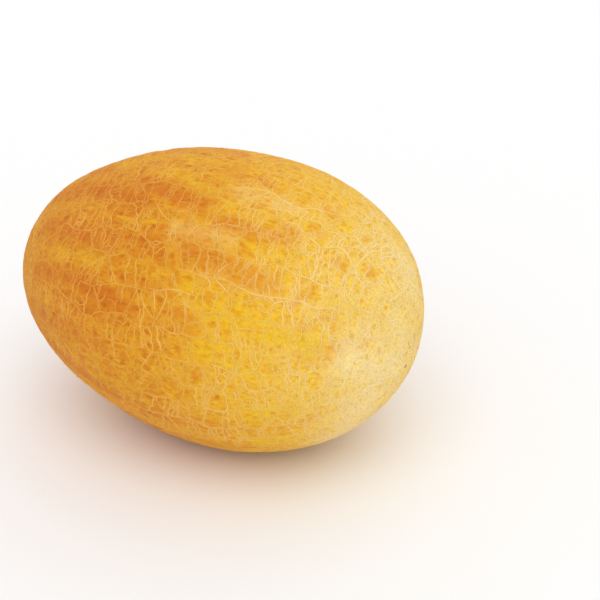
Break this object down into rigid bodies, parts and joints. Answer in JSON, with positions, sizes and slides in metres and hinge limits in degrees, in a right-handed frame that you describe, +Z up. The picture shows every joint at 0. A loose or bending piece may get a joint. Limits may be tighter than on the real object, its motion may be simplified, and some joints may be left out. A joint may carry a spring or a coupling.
{
  "type": "cantaloupe",
  "caption": "Whole oval cantaloupe of the long netted kind, golden skin under a raised cork net, lying on its side on a small flat ground spot.",
  "frame": {"origin": "On the surface that the melon rests on, under the middle of its bounding box", "axes": "+X is the fruit's long axis, from the stem scar to the blossom scar. +Z is up, away from the flat ground spot. +Y is across the fruit"},
  "size_m": [0.2534, 0.1804, 0.1715],
  "materials": {
    "rind": "dull waxy golden skin under a pale corky net"
  },
  "bodies": {
    "root": {"melon": "rind"}
  },
  "joints": []
}
